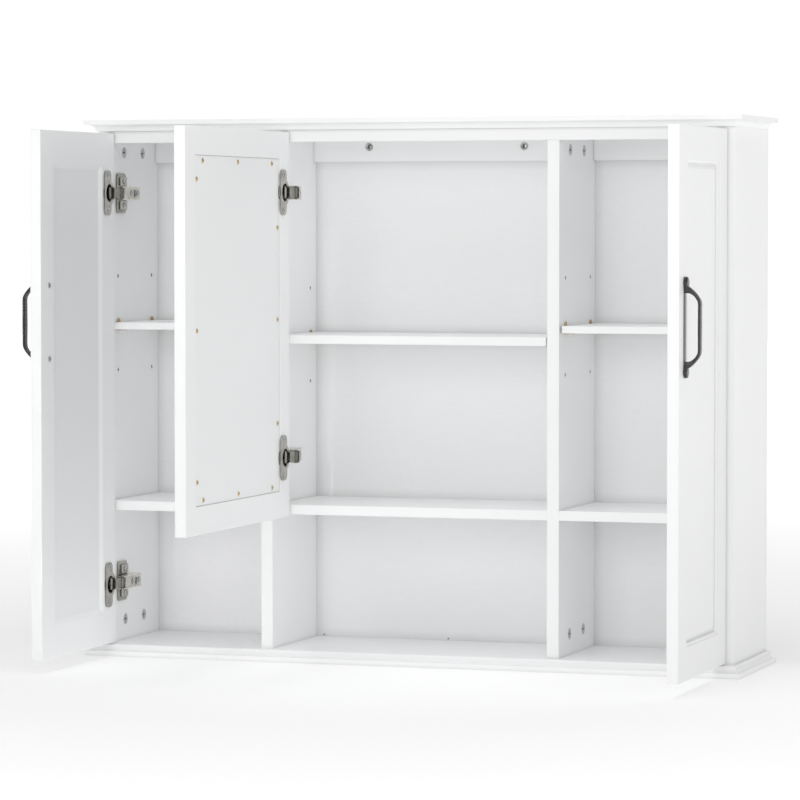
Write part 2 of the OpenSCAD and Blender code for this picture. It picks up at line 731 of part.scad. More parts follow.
module mounting_plates() color(nickel) {
  both_sides() for (z = outer_hinge_zs) translate([-side_in_x, 0, z]) mounting_plate();
  for (z = mirror_hinge_zs) translate([-divider_in_x, 0, z]) mounting_plate();
}

module mounting_plate_screws() color(steel) {
  both_sides() translate([-side_in_x, 0, 0]) plate_screws(outer_hinge_zs);
  translate([-divider_in_x, 0, 0]) plate_screws(mirror_hinge_zs);
}

crown_board();
base_board();
left_side();
right_side();
left_divider();
right_divider();
top_rail();
back_panel();
left_hanging_rail();
middle_hanging_rail();
right_hanging_rail();
left_fixed_shelf();
middle_fixed_shelf();
right_fixed_shelf();
left_adjustable_shelf();
middle_adjustable_shelf();
right_adjustable_shelf();
shelf_supports();
cam_locks();
cam_bolts();
wall_screw_washers();
back_panel_pins();
left_door_stiles();
left_door_rails();
left_door_panel();
left_handle();
left_handle_screws();
right_door_stiles();
right_door_rails();
right_door_panel();
right_handle();
right_handle_screws();
mirror_door_stiles();
mirror_door_rails();
mirror_glass();
mirror_backing();
mirror_backing_screws();
left_hinge_cups();
left_hinge_cup_pins();
left_hinge_cup_screws();
left_hinge_links();
right_hinge_cups();
right_hinge_cup_pins();
right_hinge_cup_screws();
right_hinge_links();
mirror_hinge_cups();
mirror_hinge_cup_pins();
mirror_hinge_cup_screws();
mirror_hinge_links();
outer_hinge_arms();
mirror_hinge_arms();
hinge_arm_pins();
arm_adjusting_screws();
mounting_plates();
mounting_plate_screws();
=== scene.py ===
"""Looks of the three-bay medicine cabinet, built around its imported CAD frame."""

import json
import math

import bmesh
import bpy
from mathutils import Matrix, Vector

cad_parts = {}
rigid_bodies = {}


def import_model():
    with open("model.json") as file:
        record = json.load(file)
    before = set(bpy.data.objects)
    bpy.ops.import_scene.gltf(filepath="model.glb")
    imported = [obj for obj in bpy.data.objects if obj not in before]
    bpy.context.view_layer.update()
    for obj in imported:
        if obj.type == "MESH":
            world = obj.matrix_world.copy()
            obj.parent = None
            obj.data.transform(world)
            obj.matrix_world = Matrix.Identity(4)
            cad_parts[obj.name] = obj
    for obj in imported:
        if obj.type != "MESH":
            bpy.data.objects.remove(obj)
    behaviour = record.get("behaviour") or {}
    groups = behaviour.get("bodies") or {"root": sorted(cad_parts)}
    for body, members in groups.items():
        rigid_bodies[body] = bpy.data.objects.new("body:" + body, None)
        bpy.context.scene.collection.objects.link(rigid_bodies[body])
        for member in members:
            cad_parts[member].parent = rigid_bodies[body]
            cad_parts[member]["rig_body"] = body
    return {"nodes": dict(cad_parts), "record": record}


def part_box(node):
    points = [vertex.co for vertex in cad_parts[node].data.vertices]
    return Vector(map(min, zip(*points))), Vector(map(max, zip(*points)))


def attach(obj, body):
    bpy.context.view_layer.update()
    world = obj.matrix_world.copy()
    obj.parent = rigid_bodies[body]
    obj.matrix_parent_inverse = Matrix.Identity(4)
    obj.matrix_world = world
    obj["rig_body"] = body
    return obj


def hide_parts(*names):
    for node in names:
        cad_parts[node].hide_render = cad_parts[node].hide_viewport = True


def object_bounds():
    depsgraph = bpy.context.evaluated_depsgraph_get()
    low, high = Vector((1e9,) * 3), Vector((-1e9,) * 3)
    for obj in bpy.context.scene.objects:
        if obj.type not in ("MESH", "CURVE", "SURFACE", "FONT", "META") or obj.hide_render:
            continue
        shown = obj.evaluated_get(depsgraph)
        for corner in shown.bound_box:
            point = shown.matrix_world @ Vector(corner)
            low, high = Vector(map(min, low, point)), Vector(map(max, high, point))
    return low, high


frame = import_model()
cad_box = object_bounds()
nodes = frame["nodes"]
MM = 0.001
slot_of = {s["node"]: s["material_slot"] for s in frame["record"]["subparts"]}


# ---- materials ----

class Nodes:
    """A short way to write a material's nodes."""

    def __init__(self, name):
        self.material = bpy.data.materials.new(name)
        self.material.use_nodes = True
        self.tree = self.material.node_tree
        self.shader = self.tree.nodes["Principled BSDF"]
        self.place = self.add("ShaderNodeTexCoord").outputs["Object"]

    def add(self, kind, **inputs):
        node = self.tree.nodes.new(kind)
        for key, value in inputs.items():
            self.put(node.inputs[key.replace("_", " ")], value)
        return node

    def put(self, socket, value):
        if isinstance(value, bpy.types.NodeSocket):
            self.tree.links.new(value, socket)
        else:
            socket.default_value = value

    def stretched(self, scale):
        mapping = self.add("ShaderNodeMapping", Vector=self.place)
        mapping.inputs["Scale"].default_value = scale
        return mapping.outputs["Vector"]

    def noise(self, scale, detail=3.0, rough=0.5, vector=None):
        node = self.add("ShaderNodeTexNoise", Vector=vector or self.place)
        node.inputs["Scale"].default_value = scale
        node.inputs["Detail"].default_value = detail
        node.inputs["Roughness"].default_value = rough
        return node.outputs["Fac"]

    def spread(self, value, low, high, start=0.3, stop=0.7):
        node = self.add("ShaderNodeMapRange", Value=value)
        node.inputs["From Min"].default_value = start
        node.inputs["From Max"].default_value = stop
        node.inputs["To Min"].default_value = low
        node.inputs["To Max"].default_value = high
        return node.outputs["Result"]

    def maths(self, kind, a, b):
        node = self.tree.nodes.new("ShaderNodeMath")
        node.operation = kind
        self.put(node.inputs[0], a)
        self.put(node.inputs[1], b)
        return node.outputs["Value"]

    def between(self, factor, first, second):
        node = self.tree.nodes.new("ShaderNodeMix")
        node.data_type = "RGBA"
        self.put(node.inputs["Factor"], factor)
        self.put(node.inputs["A"], first)
        self.put(node.inputs["B"], second)
        return node.outputs["Result"]

    def bumps(self, *layers):
        """Bump layers, each (height, strength, distance in metres)."""
        normal = None
        for height, strength, distance in layers:
            node = self.add("ShaderNodeBump", Height=height)
            node.inputs["Strength"].default_value = strength
            node.inputs["Distance"].default_value = distance
            if normal is not None:
                self.put(node.inputs["Normal"], normal)
            normal = node.outputs["Normal"]
        self.put(self.shader.inputs["Normal"], normal)

    def edges(self, low=0.505, high=0.56):
        """1 along sharp outer edges, 0 on flat faces: the mask for painted highlights along edges."""
        geometry = self.tree.nodes.new("ShaderNodeNewGeometry")
        return self.spread(geometry.outputs["Pointiness"], 0.0, 1.0, low, high)

    def crevices(self, reach):
        """1 in narrow grooves and inner corners, 0 in the open, over the given reach in metres: the mask for
        painted shade, read from an ambient-occlusion node.
        """
        hollow = self.tree.nodes.new("ShaderNodeAmbientOcclusion")
        hollow.samples = 3
        hollow.inputs["Distance"].default_value = reach
        return self.spread(hollow.outputs["AO"], 1.0, 0.0, 0.35, 0.95)

    def surface(self, **values):
        for key, value in values.items():
            self.put(self.shader.inputs[key.replace("_", " ")], value)


def grey(value, warm=0.0):
    return (value * (1 + warm), value, value * (1 - warm), 1.0)


def paint(name, value, peel, rough):
    """Sprayed paint with a fine orange-peel, painted paler along its edges as a highlight and darker in its
    crevices as painted shade.
    """
    m = Nodes(name)
    tone = m.spread(m.noise(5.0, 4.0), 0.0, 1.0)
    speck = m.spread(m.noise(260.0, 2.0), 0.0, 1.0, 0.62, 0.8)
    body = m.between(tone, grey(value * 0.985, -0.004), grey(value, -0.006))
    # Painted highlight: sharp edges are mixed a little towards a paler grey.
    edge_highlight = m.between(m.maths("MULTIPLY", m.edges(), 0.35), body, grey(value * 1.02, -0.002))
    # Painted shade: grooves, inner corners and places within 5 mm of other parts are mixed towards a darker
    # grey.
    shaded_paint = m.between(m.crevices(0.005), edge_highlight, grey(value * 0.74, 0.004))
    m.surface(
        Base_Color=m.between(m.maths("MULTIPLY", speck, 0.05), shaded_paint, grey(value * 0.8, 0.02)),
        Roughness=m.spread(m.noise(34.0, 5.0, 0.6), rough - 0.05, rough + 0.07),
        IOR=1.48,
        Coat_Weight=0.12,
        Coat_Roughness=0.22,
    )
    m.bumps(
        (m.noise(820.0, 2.0, 0.45), 0.35, peel),
        (m.noise(70.0, 3.0, 0.5), 0.25, peel * 2),
    )
    return m.material


def board_face(name, value, rough):
    """Paper-faced thin board: fine fibres, upright and level, under a thin white coat."""
    m = Nodes(name)
    fibre = m.noise(900.0, 4.0, 0.7, m.stretched((1.0, 1.0, 0.16)))
    cloud = m.noise(11.0, 5.0, 0.6)
    weave = m.noise(300.0, 4.0, 0.7, m.stretched((0.12, 1.0, 1.0)))
    grain = m.maths("MULTIPLY", m.maths("ADD", fibre, weave), 0.5)
    base = m.between(m.spread(grain, 0.0, 1.0, 0.35, 0.65), grey(value * 0.95, -0.004), grey(value, -0.007))
    clouded = m.between(m.spread(cloud, 0.0, 0.25), base, grey(value * 0.95, -0.004))
    m.surface(
        # Painted shade: grooves, inner corners and places within 14 mm of other parts, such as under the
        # shelves, are mixed towards a darker grey.
        Base_Color=m.between(m.crevices(0.014), clouded, grey(value * 0.74, -0.004)),
        Roughness=m.spread(fibre, rough - 0.06, rough + 0.08),
        IOR=1.46,
    )
    m.bumps((grain, 0.6, 0.00008), (m.noise(160.0, 3.0), 0.2, 0.00008))
    return m.material


def metal(name, colour, shade, rough, brush=0.0, patch_strength=0.3):
    """Metal mottled in patches towards its darker shade colour, partly tarnish and partly painted reflection,
    with a painted highlight along its edges and painted shade in its crevices.
    """
    m = Nodes(name)
    cloud = m.noise(120.0, 4.0, 0.6)
    grain = m.noise(1500.0, 2.0, 0.6, m.stretched((0.12, 1.0, 1.0)))
    # The patches are partly tarnish and partly painted reflection, standing in for the dark surroundings that
    # plated metal mirrors.
    tarnish_and_reflection = m.maths("MULTIPLY", m.spread(cloud, 0.0, 1.0, 0.42, 0.62), patch_strength)
    tint = m.between(tarnish_and_reflection, (*colour, 1), (*shade, 1))
    # Painted shade: a near-black copy of the shade colour for the crevices.
    crevice_shade = (*[c * 0.4 for c in shade], 1)
    bright = (*[min(1, c * 2.0) for c in colour], 1)
    # Painted highlight: sharp edges are mixed towards a colour twice as bright.
    edge_highlight = m.between(m.maths("MULTIPLY", m.edges(), 0.6), tint, bright)
    streaks = m.maths("ADD", m.maths("MULTIPLY", cloud, 0.6), m.maths("MULTIPLY", grain, 0.4))
    m.surface(
        Base_Color=m.between(m.maths("MULTIPLY", m.crevices(0.003), 0.8), edge_highlight, crevice_shade),
        Metallic=1.0,
        Roughness=m.spread(streaks, rough - 0.06, rough + 0.1, 0.35, 0.65),
    )
    m.bumps((grain, 0.3 + brush, 0.00001), (m.noise(300.0, 2.0), 0.2, 0.00003))
    return m.material


def bronze(name):
    """Dark oil-rubbed bronze: near black and glossy, painted a little lighter along its edges as a highlight.
    """
    m = Nodes(name)
    cloud = m.noise(90.0, 5.0, 0.6)
    cast = m.noise(700.0, 2.0, 0.5)
    body = m.between(m.spread(cloud, 0.0, 1.0), (0.004, 0.004, 0.0045, 1), (0.009, 0.008, 0.0075, 1))
    m.surface(
        # Painted highlight: sharp edges are mixed towards a lighter brown-grey.
        Base_Color=m.between(m.maths("MULTIPLY", m.edges(0.52, 0.6), 0.5), body, (0.11, 0.10, 0.095, 1)),
        Metallic=0.0,
        Roughness=m.spread(cloud, 0.2, 0.34),
        Specular_IOR_Level=0.28,
    )
    m.bumps((cast, 0.35, 0.00005), (cloud, 0.15, 0.0002))
    return m.material


def raw_board(name):
    """The bare fibre of a board where it was drilled or grooved."""
    m = Nodes(name)
    fibre = m.noise(1400.0, 3.0, 0.7)
    m.surface(
        Base_Color=m.between(m.spread(fibre, 0.0, 1.0), (0.20, 0.155, 0.11, 1), (0.30, 0.24, 0.17, 1)),
        Roughness=0.9,
    )
    m.bumps((fibre, 0.6, 0.0001))
    return m.material


def silvering(name):
    """The mirror's silvering, as seen through faintly smeared glass."""
    m = Nodes(name)
    smear = m.noise(14.0, 5.0, 0.65)
    m.surface(
        Base_Color=m.between(m.spread(smear, 0.0, 1.0), (0.86, 0.89, 0.89, 1), (0.83, 0.87, 0.875, 1)),
        Metallic=1.0,
        Roughness=m.spread(smear, 0.012, 0.04),
    )
    m.bumps((m.noise(3.0, 2.0), 0.05, 0.0002))
    return m.material


def glass_edge(name):
    """The ground edge of the mirror's glass, green with depth."""
    m = Nodes(name)
    m.surface(
        Base_Color=m.between(m.noise(60.0), (0.22, 0.42, 0.36, 1), (0.32, 0.52, 0.46, 1)),
        Roughness=m.spread(m.noise(400.0), 0.12, 0.3),
        IOR=1.52,
    )
    m.bumps((m.noise(500.0), 0.2, 0.00004))
    return m.material


def plain_floor(name):
    """Pale and matt, glowing a little more the further it is from the object, so that it ends in white."""
    m = Nodes(name)
    away = m.tree.nodes.new("ShaderNodeVectorMath")
    away.operation = "LENGTH"
    m.put(away.inputs[0], m.place)
    m.surface(
        Base_Color=m.between(m.noise(2.0), grey(0.92), grey(0.93)),
        Roughness=0.9,
        Specular_IOR_Level=0.1,
        Emission_Color=grey(1.0),
        Emission_Strength=m.spread(away.outputs["Value"], 0.23, 0.9, 0.6, 4.5),
    )
    return m.material


looks = {
    "white_paint": paint("white_paint", 0.92, 0.00004, 0.36),
    "painted_panel": board_face("painted_panel", 0.91, 0.5),
    # Painted shade: a slightly darker copy of the painted panel for the doors' sunk panels.
    "shaded_sunk_panel": board_face("shaded_sunk_panel", 0.89, 0.5),
    "backing_board": board_face("backing_board", 0.91, 0.55),
    "mirror": silvering("mirror"),
    "glass_edge": glass_edge("glass_edge"),
    "brass": metal("brass", (0.52, 0.33, 0.10), (0.16, 0.09, 0.03), 0.18, 0.0, 0.8),
    # One nickel in three copies as painted shade: nickel for the lit arms, plate darker for the cups and
    # mounting plates, link darker still for the links.
    "nickel": metal("nickel", (0.42, 0.40, 0.35), (0.09, 0.08, 0.06), 0.17, 0.2, 0.8),
    "plate": metal("plate", (0.26, 0.25, 0.22), (0.035, 0.03, 0.025), 0.2, 0.2, 0.9),
    "link": metal("link", (0.15, 0.145, 0.125), (0.06, 0.055, 0.045), 0.24, 0.2, 0.8),
    "zinc": metal("zinc", (0.36, 0.365, 0.37), (0.10, 0.10, 0.10), 0.2, 0.0, 0.8),
    # Painted shade: a near-black metal for the insides of screw recesses, hinge cups and cam locks.
    "recess": metal("recess", (0.045, 0.038, 0.03), (0.02, 0.017, 0.013), 0.5, 0.0, 0.8),
    "raw_board": raw_board("raw_board"),
    "dark_steel": metal("dark_steel", (0.10, 0.095, 0.09), (0.06, 0.055, 0.05), 0.4),
    "handle": bronze("handle"),
}


# ---- making pieces ----

def islands(node):
    """The lowest and highest corner of each separate solid in a CAD node."""
    bm = bmesh.new()
    bm.from_mesh(nodes[node].data)
    bmesh.ops.remove_doubles(bm, verts=bm.verts, dist=1e-6)
    left, found = set(bm.verts), []
    while left:
        stack, part = [left.pop()], []
        while stack:
            v = stack.pop()
            part.append(v.co.copy())
            for e in v.link_edges:
                other = e.other_vert(v)
                if other in left:
                    left.remove(other)
                    stack.append(other)
        found.append((Vector([min(c[i] for c in part) for i in range(3)]),
                      Vector([max(c[i] for c in part) for i in range(3)])))
    bm.free()
    return sorted(found, key=lambda b: tuple(round(x, 6) for x in (b[0] + b[1])))


def settle(ob):
    """Applies an object's modifiers, so that its mesh is what shows."""
    bpy.context.view_layer.update()
    shown = ob.evaluated_get(bpy.context.evaluated_depsgraph_get())
    mesh = bpy.data.meshes.new_from_object(shown)
    ob.modifiers.clear()
    ob.data = mesh
    return ob


def new_object(name, verts, faces, look=None):
    mesh = bpy.data.meshes.new(name)
    mesh.from_pydata([tuple(v) for v in verts], [], faces)
    mesh.validate()
    ob = bpy.data.objects.new(name, mesh)
    bpy.context.scene.collection.objects.link(ob)
    if look:
        mesh.materials.append(looks[look])
    return ob


def smooth(ob, angle=35):
    """Smooth shading that keeps flat faces flat and sharp edges sharp."""
    ob.data.polygons.foreach_set("use_smooth", [True] * len(ob.data.polygons))
    ob.data.set_sharp_from_angle(angle=math.radians(angle))
    weight = ob.modifiers.new("normals", "WEIGHTED_NORMAL")
    weight.keep_sharp = True
    weight.weight = 80
    return ob


def stand_for(ob, *replaced, look=None):
    """ob takes the place of CAD nodes, on their body."""
    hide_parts(*replaced)
    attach(ob, nodes[replaced[0]]["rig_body"])
    return ob


def softened(node, width, segments=3, look=None, angle=30):
    """A copy of a CAD node with every sharp edge rounded to the given width."""
    bm = bmesh.new()
    bm.from_mesh(nodes[node].data)
    bmesh.ops.remove_doubles(bm, verts=bm.verts, dist=2e-6)
    bmesh.ops.dissolve_limit(bm, angle_limit=math.radians(0.4), verts=bm.verts, edges=bm.edges)
    bmesh.ops.recalc_face_normals(bm, faces=bm.faces)
    bm.verts.index_update()
    ob = new_object(node + "_soft", [v.co for v in bm.verts], [[v.index for v in f.verts] for f in bm.faces],
                    look or slot_of[node])
    bm.free()
    bevel = ob.modifiers.new("edges", "BEVEL")
    bevel.width = width
    bevel.segments = segments
    bevel.limit_method = "ANGLE"
    bevel.angle_limit = math.radians(angle)
    bevel.miter_outer = "MITER_ARC"
    bevel.use_clamp_overlap = True
    settle(ob)
    return stand_for(smooth(ob), node, look=look)


def second_look(ob, look, test):
    """Gives look to the faces whose middle and normal pass the test."""
    ob.data.materials.append(looks[look])
    last = len(ob.data.materials) - 1
    for face in ob.data.polygons:
        if test(face.center, face.normal):
            face.material_index = last
    return ob


def inside(node, *margins):
    """A test for faces lying within their own solid's box by margins, in mm: bores, slots and grooves."""
    boxes = islands(node)
    gap = Vector(margins) * MM
    return lambda middle, normal: any(
        all(low[i] + gap[i] < middle[i] < high[i] - gap[i] for i in range(3)) for low, high in boxes)


def cut(ob, *tools):
    """Cuts the tool objects out of ob and removes them."""
    for tool in tools:
        boolean = ob.modifiers.new("cut", "BOOLEAN")
        boolean.operation = "DIFFERENCE"
        boolean.solver = "EXACT"
        boolean.material_mode = "TRANSFER"
        boolean.object = tool
    settle(ob)
    for tool in tools:
        bpy.data.objects.remove(tool)
    return ob


def lathe(name, profile, place, axis, sides=40, look=None):
    """A closed solid turned about axis from (radius, height) points, starting and ending on the axis."""
    verts, faces = [], []
    for radius, height in profile:
        if radius == 0:
            verts.append(Vector((0, 0, height)))
        else:
            turns = [2 * math.pi * k / sides for k in range(sides)]
            verts += [Vector((radius * math.cos(a), radius * math.sin(a), height)) for a in turns]
    start = 0
    for (r0, _), (r1, _) in zip(profile, profile[1:]):
        n0, n1 = (1 if r0 == 0 else sides), (1 if r1 == 0 else sides)
        a, b = start, start + n0
        for k in range(sides):
            j = (k + 1) % sides
            ring = [a + k % n0, a + j % n0, b + j % n1, b + k % n1]
            faces.append(list(dict.fromkeys(ring)))
        start += n0
    turn = Vector((0, 0, 1)).rotation_difference(Vector(axis)).to_matrix()
    return new_object(name, [turn @ v + Vector(place) for v in verts], faces, look)


def joined(name, pieces):
    """One object from several, all in place already."""
    verts, faces, slots, marks = [], [], [], []
    for ob in pieces:
        base = len(verts)
        verts += [v.co.copy() for v in ob.data.vertices]
        for f in ob.data.polygons:
            faces.append([base + i for i in f.vertices])
            material = ob.data.materials[f.material_index] if ob.data.materials else None
            if material not in slots:
                slots.append(material)
            marks.append(slots.index(material))
        bpy.data.objects.remove(ob)
    whole = new_object(name, verts, faces)
    for material in slots:
        whole.data.materials.append(material)
    whole.data.polygons.foreach_set("material_index", marks)
    return whole


# ---- painted boards ----

for node in ("crown_board", "base_board"):
    softened(node, 0.9 * MM)
for node in ("left_side", "right_side", "left_divider", "right_divider"):
    second_look(softened(node, 0.7 * MM), "raw_board", inside(node, 1.1, 4.0, 4.0))
second_look(softened("middle_hanging_rail", 0.6 * MM), "raw_board",
            inside("middle_hanging_rail", 6.0, 0.8, 6.0))
for node in ("top_rail", "left_hanging_rail", "right_hanging_rail",
             "left_fixed_shelf", "middle_fixed_shelf", "right_fixed_shelf"):
    softened(node, 0.6 * MM)
for node in ("left_adjustable_shelf", "middle_adjustable_shelf", "right_adjustable_shelf"):
    softened(node, 0.9 * MM)
softened("back_panel", 0.2 * MM, 1)

# ---- doors ----

class DoorPlace:
    """Where a door stands, read from its stiles: across from the hinge edge, deep from the back face, up."""

    def __init__(self, stiles):
        self.low, self.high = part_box(stiles)
        self.side = 1 if self.low.x > 0 else -1
        self.width = self.high.y - self.low.y
        self.height = self.high.z - self.low.z
        self.thick = self.high.x - self.low.x

    def at(self, across, deep, up):
        back = self.low.x if self.side > 0 else self.high.x
        return Vector((back + self.side * deep, self.high.y - across, self.low.z + up))


def ring_points(place, margin, deep, radius, steps=5):
    """A rectangle set in by margin, with round corners, at one depth."""
    r = max(radius, 0.05 * MM)
    low, wide, high = margin + r, place.width - margin - r, place.height - margin - r
    points = []
    for k, (x, z) in enumerate(((wide, high), (low, high), (low, low), (wide, low))):
        for s in range(steps + 1):
            a = math.radians(90 * (k + s / steps))
            points.append(place.at(x + r * math.cos(a), deep, z + r * math.sin(a)))
    return points


def lofted_door(place, rings):
    """The skin through rings, each (margin, depth, corner radius) in mm, and the points in a ring."""
    verts, faces = [], []
    for margin, deep, radius in rings:
        verts += ring_points(place, margin * MM, deep * MM, radius * MM)
    n = len(verts) // len(rings)
    for i in range(len(rings) - 1):
        for k in range(n):
            j = (k + 1) % n
            faces.append([i * n + k, i * n + j, (i + 1) * n + j, (i + 1) * n + k])
    return verts, faces, n


def closed_door(name, place, rings, look):
    """A solid from one flat end of its rings to the other."""
    verts, faces, n = lofted_door(place, rings)
    faces.append(list(range(n))[::-1])
    faces.append(list(range(len(verts) - n, len(verts))))
    return outward(new_object(name, verts, faces, look))


def ring_door(name, place, rings, look):
    """A frame: its last ring joins its first through the opening."""
    verts, faces, n = lofted_door(place, rings)
    last = len(verts) - n
    faces += [[last + k, last + (k + 1) % n, (k + 1) % n, k] for k in range(n)]
    return outward(new_object(name, verts, faces, look))


def outward(ob):
    """Turns every face to look out of the solid."""
    bm = bmesh.new()
    bm.from_mesh(ob.data)
    bmesh.ops.recalc_face_normals(bm, faces=bm.faces)
    bm.to_mesh(ob.data)
    bm.free()
    return ob


def rounded(margin0, deep0, margin1, deep1, radius0, radius1, bulge, steps=4):
    """Rings along an arc from one edge to another. bulge picks the side of the arc's centre."""
    found = []
    for s in range(1, steps):
        a = math.pi / 2 * s / steps
        u, v = (math.sin(a), 1 - math.cos(a)) if bulge else (1 - math.cos(a), math.sin(a))
        found.append((margin0 + (margin1 - margin0) * u, deep0 + (deep1 - deep0) * v,
                      radius0 + (radius1 - radius0) * s / steps))
    return found


def outer_shell(t):
    """The outside of a door from its back face to its front, with softly rounded arrises."""
    r = 0.9
    return [(2.5, 0, 1.2), (r, 0, 1.2), (0.27, 0.27, 1.2), (0, r, 1.2),
            (0, t - r, 1.2), (0.27, t - 0.27, 1.2), (r, t, 1.2), (2.5, t, 1.2)]


def hinge_bores(place, cups, name):
    """Tools for the round bores that the hinge cups sit in; each cup's flange hides the bore's rim."""
    radius, depth, over = 17.5 * MM, 12 * MM, 2 * MM
    across = 21 * MM
    tools = []
    for low, high in islands(cups):
        middle = Vector((place.at(0, 0, 0).x, place.high.y - across, (low.z + high.z) / 2))
        profile = [(0, -over), (radius, -over), (radius, depth), (0, depth)]
        tools.append(outward(lathe(name, profile, middle, (place.side, 0, 0), 48)))
    return tools


def outer_door(side):
    """A panelled door: a plain sunk panel behind, and an ovolo and a quirk round the panel in front."""
    place = DoorPlace(side + "_door_stiles")
    t = place.thick / MM
    back = [(60, 3.5, 1.5), (51, 3.5, 1.5), (49.4, 3.2, 1.5), (44.2, 0.5, 1.2), (43.4, 0.1, 1.2),
            (42.6, 0, 1.2), (40, 0, 1.2)]
    front = [(40, t, 1.2), (42.0, t, 1.5), (42.4, t - 0.15, 1.6), (42.6, t - 1.2, 1.8), (43.3, t - 1.3, 2.0)]
    front += rounded(43.3, t - 1.3, 46.4, t - 3.0, 2.0, 3.2, True, 6)
    front += [(46.4, t - 3.0, 3.2), (46.5, t - 4.8, 3.4), (46.9, t - 5.7, 3.8), (48.1, t - 5.8, 4.4),
              (49.0, t - 5.2, 5.2), (53.2, t - 3.3, 6.0), (53.9, t - 3.2, 6.2), (60, t - 3.2, 6.4)]
    door = closed_door(side + "_door_body", place, back + outer_shell(t) + front, "white_paint")
    cut(door, *hinge_bores(place, side + "_hinge_cups", "bore"))
    recess = 50 * MM
    # Painted shade: the faces of the sunk panel behind take the darker panel look.
    second_look(door, "shaded_sunk_panel", lambda middle, normal: normal.x * place.side < -0.9 and all(
        low + recess < c < high - recess for low, c, high in zip(place.low.yz, middle.yz, place.high.yz)))
    stand_for(smooth(door, 38), side + "_door_stiles", side + "_door_rails", side + "_door_panel")


for side in ("left", "right"):
    outer_door(side)


def mirror_door():
    """A frame rebated from behind for the backing and the glass, with an ovolo round the sight opening."""
    place = DoorPlace("mirror_door_stiles")
    t = place.thick / MM
    rim, sunk, sight = 36.0, 4.5, 52.0
    rings = [(sight, 9.5, 0.6), (sight, sunk + 4, 0.6), (47.2, sunk + 4, 0.6), (47.2, sunk, 0.6),
             (rim, sunk, 0.8), (rim, 0.9, 0.8), (rim - 0.25, 0.25, 0.9), (rim - 0.9, 0, 1.0),
             (rim - 3, 0, 1.2)]
    rings += outer_shell(t)
    rings += [(40, t, 1.2), (43.2, t, 1.4), (43.6, t - 0.15, 1.5), (43.8, t - 0.7, 1.6), (44.1, t - 0.9, 1.8)]
    rings += rounded(44.1, t - 0.9, 50.6, t - 4.0, 1.8, 1.0, True, 7)
    rings += [(50.6, t - 4.0, 1.0), (51.6, t - 4.9, 0.8), (sight, t - 5.3, 0.6)]
    door = ring_door("mirror_door_body", place, rings, "white_paint")
    cut(door, *hinge_bores(place, "mirror_hinge_cups", "bore"))
    stand_for(smooth(door, 38), "mirror_door_stiles", "mirror_door_rails")

    second_look(softened("mirror_backing", 0.35 * MM, 2), "raw_board",
                lambda middle, normal: abs(normal.x) < 0.3)

    glass = DoorPlace("mirror_glass")
    edge = glass.thick / MM
    rings = [(10, 0, 0.4), (0.3, 0, 0.4), (0, 0.3, 0.4), (0, edge - 0.8, 0.4), (0.8, edge, 0.4),
             (10, edge, 0.4)]
    pane = closed_door("mirror_pane", glass, rings, "mirror")
    pane.data.materials.append(looks["glass_edge"])
    for face in pane.data.polygons:
        if abs(face.normal.x) < 0.9:
            face.material_index = 1
    stand_for(smooth(pane, 20), "mirror_glass")


mirror_door()


# ---- handles ----

def smooth_path(points, steps):
    """A smooth line through points (Catmull-Rom), each a tuple of numbers."""
    found = []
    ends = [points[0], *points, points[-1]]
    for i in range(1, len(ends) - 2):
        p0, p1, p2, p3 = ends[i - 1:i + 3]
        for s in range(steps):
            t = s / steps
            found.append(tuple(
                0.5 * (2 * b + (c - a) * t + (2 * a - 5 * b + 4 * c - d) * t * t
                       + (3 * b - a - 3 * c + d) * t ** 3)
                for a, b, c, d in zip(p0, p1, p2, p3)))
    found.append(tuple(points[-1]))
    return found


def swept(name, path, sides=24, squareness=0.45):
    """A bar along path points (out, up, width, thickness), with rounded-rectangle sections."""
    verts, faces = [], []
    for i, (out, up, wide, thick) in enumerate(path):
        before, after = path[max(i - 1, 0)], path[min(i + 1, len(path) - 1)]
        along = Vector((after[0] - before[0], after[1] - before[1])).normalized()
        across = Vector((along.y, -along.x))
        for k in range(sides):
            a = 2 * math.pi * k / sides
            c, s = math.cos(a), math.sin(a)
            x = wide / 2 * math.copysign(abs(c) ** squareness, c)
            y = thick / 2 * math.copysign(abs(s) ** squareness, s)
            verts.append(Vector((out + across.x * y, x, up + across.y * y)) * MM)
    n = len(path)
    for i in range(n - 1):
        for k in range(sides):
            j = (k + 1) % sides
            faces.append([i * sides + k, i * sides + j, (i + 1) * sides + j, (i + 1) * sides + k])
    faces.append(list(range(sides))[::-1])
    faces.append(list(range((n - 1) * sides, n * sides)))
    return outward(new_object(name, verts, faces))


def paddle(name, half, sign):
    """A foot: a round-ended plate, domed on top, reaching from under the bow to the handle's end."""
    verts, faces, steps = [], [], 16
    radius, tail, tail_half = 8.0, 10.0, 5.6
    rings = [(0.0, 0.0), (0.0, 3.0), (0.35, 3.9), (1.1, 4.5), (2.4, 4.9), (4.5, 5.1)]
    for inset, out in rings:
        r = radius - inset
        for s in range(steps + 1):
            a = math.pi * s / steps
            verts.append(Vector((out, r * math.cos(a), sign * (half - radius + r * math.sin(a)))) * MM)
        for x in (-1, 1):
            end = sign * (half - radius - (tail - inset))
            verts.append(Vector((out, x * (tail_half - inset), end)) * MM)
    n = steps + 3
    for i in range(len(rings) - 1):
        for k in range(n):
            j = (k + 1) % n
            faces.append([i * n + k, i * n + j, (i + 1) * n + j, (i + 1) * n + k])
    faces.append(list(range(n))[::-1])
    faces.append(list(range((len(rings) - 1) * n, len(rings) * n)))
    return outward(new_object(name, verts, faces))


